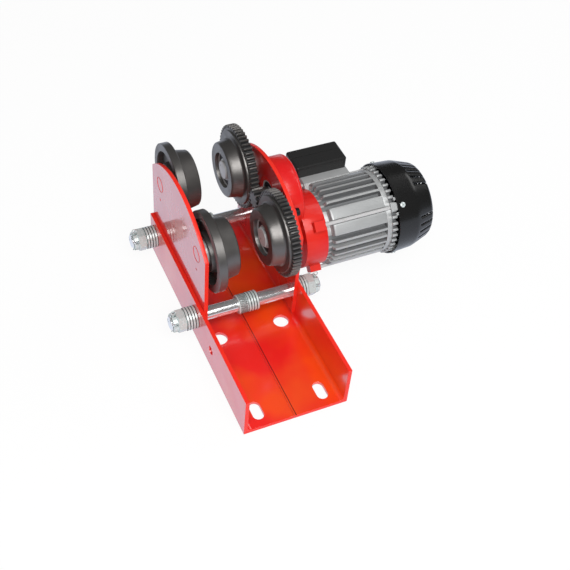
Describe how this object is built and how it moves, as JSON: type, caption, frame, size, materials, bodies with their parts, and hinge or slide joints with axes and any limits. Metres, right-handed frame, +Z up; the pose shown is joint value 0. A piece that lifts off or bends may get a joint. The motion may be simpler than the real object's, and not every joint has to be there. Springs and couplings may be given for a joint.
{
  "type": "electric beam trolley",
  "caption": "Electric travelling trolley for an I-beam: folded load angles, arched wheel plates, flanged and geared wheels, tie rods and a finned gear motor",
  "frame": {"origin": "on the underside of the load angles, under the middle of the wheel plates", "axes": "X runs along the beam with the angles' free end at +X, Y runs across it with the motor at +Y, Z is up"},
  "size_m": [0.3649, 0.3725, 0.1925],
  "materials": {
    "red_gloss": "thick glossy red paint",
    "bright_zinc": "bright zinc plate",
    "bright_steel": "ground bearing steel",
    "gear_steel": "dark machined steel, oiled",
    "cast_aluminium": "fine cast surface",
    "black_gloss": "smooth glossy black",
    "black_screw": "black oxide",
    "black_plastic": "plain moulded",
    "winding_enamel": "enamelled copper wire"
  },
  "bodies": {
    "trolley_frame": {"axle_circlips": "bright_steel", "cable_gland": "black_plastic", "centre_spacer_rings": "bright_zinc", "centre_spacer_washers": "bright_zinc", "fan_cover": "black_gloss", "fan_cover_screws": "bright_zinc", "front_tie_rod": "bright_zinc", "gearbox_case": "red_gloss", "gearbox_cover": "red_gloss", "gearbox_cover_screws": "black_screw", "gearbox_mounting_screws": "black_screw", "left_front_axle": "bright_steel", "left_load_angle": "red_gloss", "left_rear_axle": "bright_steel", "left_wheel_plate": "red_gloss", "motor_frame": "cast_aluminium", "motor_through_bolts": "bright_zinc", "outer_spacer_washers": "bright_zinc", "pinion_bearing": "bright_steel", "pinion_tail_bearing": "bright_steel", "rear_end_shield": "cast_aluminium", "rear_tie_rod": "bright_zinc", "right_front_axle": "bright_steel", "right_load_angle": "red_gloss", "right_rear_axle": "bright_steel", "right_wheel_plate": "red_gloss", "rotor_front_bearing": "bright_steel", "rotor_rear_bearing": "bright_steel", "stator_core": "gear_steel", "stator_windings": "winding_enamel", "terminal_block": "black_plastic", "terminal_box_cover": "black_gloss", "tie_rod_castle_nuts": "bright_zinc", "tie_rod_split_pins": "bright_zinc"},
    "left_front_wheel_set": {"left_front_wheel": "gear_steel", "left_front_wheel_bearing": "bright_steel"},
    "left_rear_wheel_set": {"left_rear_wheel": "gear_steel", "left_rear_wheel_bearing": "bright_steel"},
    "right_front_wheel_set": {"right_front_geared_wheel": "gear_steel", "right_front_geared_wheel_bearing": "bright_steel"},
    "right_rear_wheel_set": {"right_rear_geared_wheel": "gear_steel", "right_rear_geared_wheel_bearing": "bright_steel"},
    "pinion_shaft_set": {"drive_pinion_shaft": "gear_steel", "reduction_gear": "gear_steel", "reduction_gear_key": "gear_steel"},
    "rotor_set": {"rotor_shaft": "gear_steel", "rotor_core": "gear_steel", "cooling_fan": "black_plastic"}
  },
  "joints": [
    {"name": "rear_geared_wheel_spin", "type": "hinge", "parent": "trolley_frame", "child": "right_rear_wheel_set", "pos_m": [-0.066, 0, 0.1365], "axis": [0, 1, 0], "continuous": true},
    {"name": "front_geared_wheel_spin", "type": "hinge", "parent": "trolley_frame", "child": "right_front_wheel_set", "pos_m": [0.066, 0, 0.1365], "axis": [0, 1, 0], "continuous": true},
    {"name": "pinion_shaft_spin", "type": "hinge", "parent": "trolley_frame", "child": "pinion_shaft_set", "pos_m": [0, 0, 0.1365], "axis": [0, 1, 0], "continuous": true},
    {"name": "rotor_spin", "type": "hinge", "parent": "trolley_frame", "child": "rotor_set", "pos_m": [0.02486, 0, 0.08772], "axis": [0, 1, 0], "continuous": true},
    {"name": "left_front_wheel_spin", "type": "hinge", "parent": "trolley_frame", "child": "left_front_wheel_set", "pos_m": [0.066, 0, 0.1365], "axis": [0, 1, 0], "continuous": true},
    {"name": "left_rear_wheel_spin", "type": "hinge", "parent": "trolley_frame", "child": "left_rear_wheel_set", "pos_m": [-0.066, 0, 0.1365], "axis": [0, 1, 0], "continuous": true}
  ],
  "couplings": [
    {"joint": "front_geared_wheel_spin", "follows": "rear_geared_wheel_spin", "ratio": 1},
    {"joint": "pinion_shaft_spin", "follows": "rear_geared_wheel_spin", "ratio": -4.5},
    {"joint": "rotor_spin", "follows": "rear_geared_wheel_spin", "ratio": 16.031}
  ]
}
